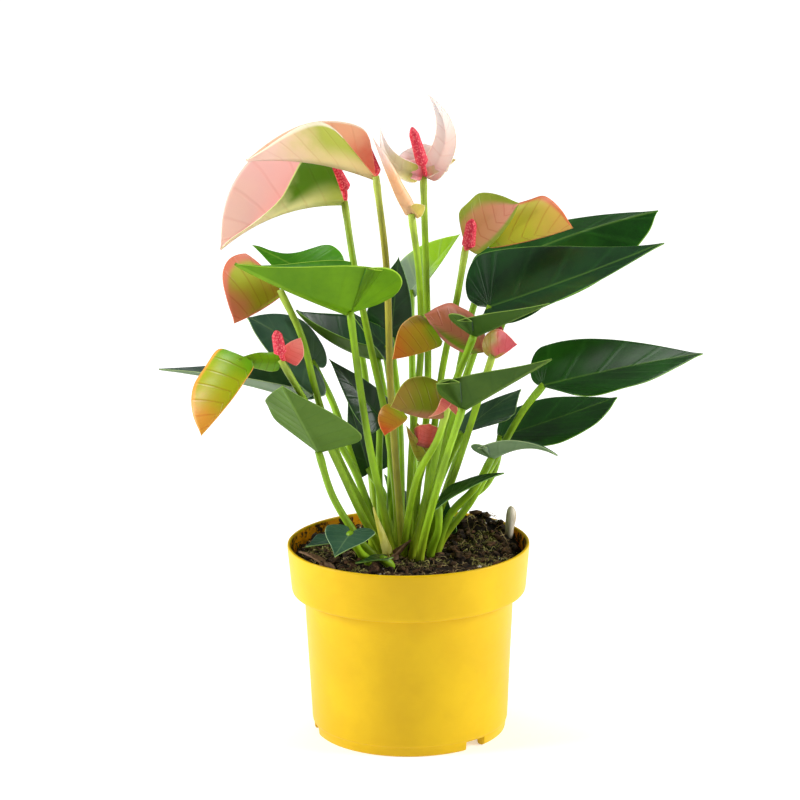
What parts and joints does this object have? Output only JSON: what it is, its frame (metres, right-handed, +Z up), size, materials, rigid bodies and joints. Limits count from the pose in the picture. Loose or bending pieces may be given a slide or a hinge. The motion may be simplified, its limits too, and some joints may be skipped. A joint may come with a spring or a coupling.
{
  "type": "potted anthurium",
  "caption": "Potted anthurium with long-stalked heart-shaped glossy leaves and pink and green blooms, growing in soil in a round yellow nursery pot with a wide rim band.",
  "frame": {"origin": "centre of the pot's base, on the surface that the pot stands on", "axes": "+Z up, -Y towards the viewer of the picture (the front), +X to the right of the front view"},
  "size_m": [0.2662, 0.1406, 0.3215],
  "materials": {
    "leaf": "glossy",
    "pink_spathe": "satin",
    "pale_spathe": "satin",
    "green_spathe": "satin",
    "coral_spathe": "satin",
    "rose_spathe": "satin",
    "bud": "satin",
    "spadix": "matte, finely knobbly",
    "sheath": "matte",
    "dry_leaf": "matte",
    "root": "matte",
    "pot": "satin",
    "soil": "rough"
  },
  "bodies": {
    "root": {"leaf_front_left": "leaf", "leaf_left_behind": "leaf", "leaf_far_left": "leaf", "leaf_left_low": "leaf", "leaf_right_back": "leaf", "leaf_right_front": "leaf", "leaf_right_folded": "leaf", "leaf_far_right": "leaf", "leaf_right_low": "leaf", "leaf_right_lowest": "leaf", "leaf_middle_folded": "leaf", "leaf_middle_back": "leaf", "leaf_narrow": "leaf", "leaf_back_left": "leaf", "leaf_back_left_low": "leaf", "leaf_back_middle": "leaf", "leaf_back_light": "leaf", "leaf_left_hidden": "leaf", "leaf_middle_hidden": "leaf", "leaf_back_top": "leaf", "leaf_right_hidden": "leaf", "leaf_soil_front": "leaf", "leaf_soil_left": "leaf", "leaf_soil_small": "leaf", "leaf_shoot_left": "leaf", "leaf_shoot_middle": "leaf", "leaf_shoot_right": "leaf", "bloom_left_low": "pink_spathe", "spadix_left_low": "spadix", "bloom_left_top": "pink_spathe", "spadix_left_top": "spadix", "bloom_top_narrow": "pink_spathe", "bloom_top_open": "pale_spathe", "spadix_top_open": "spadix", "bloom_right": "green_spathe", "spadix_right": "spadix", "bloom_far_left": "coral_spathe", "bloom_left_drooping": "green_spathe", "spadix_left_drooping": "spadix", "bloom_middle": "rose_spathe", "spadix_middle": "spadix", "bloom_low": "rose_spathe", "bloom_bud": "bud", "sheath": "sheath", "brown_bract": "dry_leaf", "withered_leaf": "dry_leaf", "root_stub": "root", "pot": "pot", "soil": "soil"}
  },
  "joints": []
}
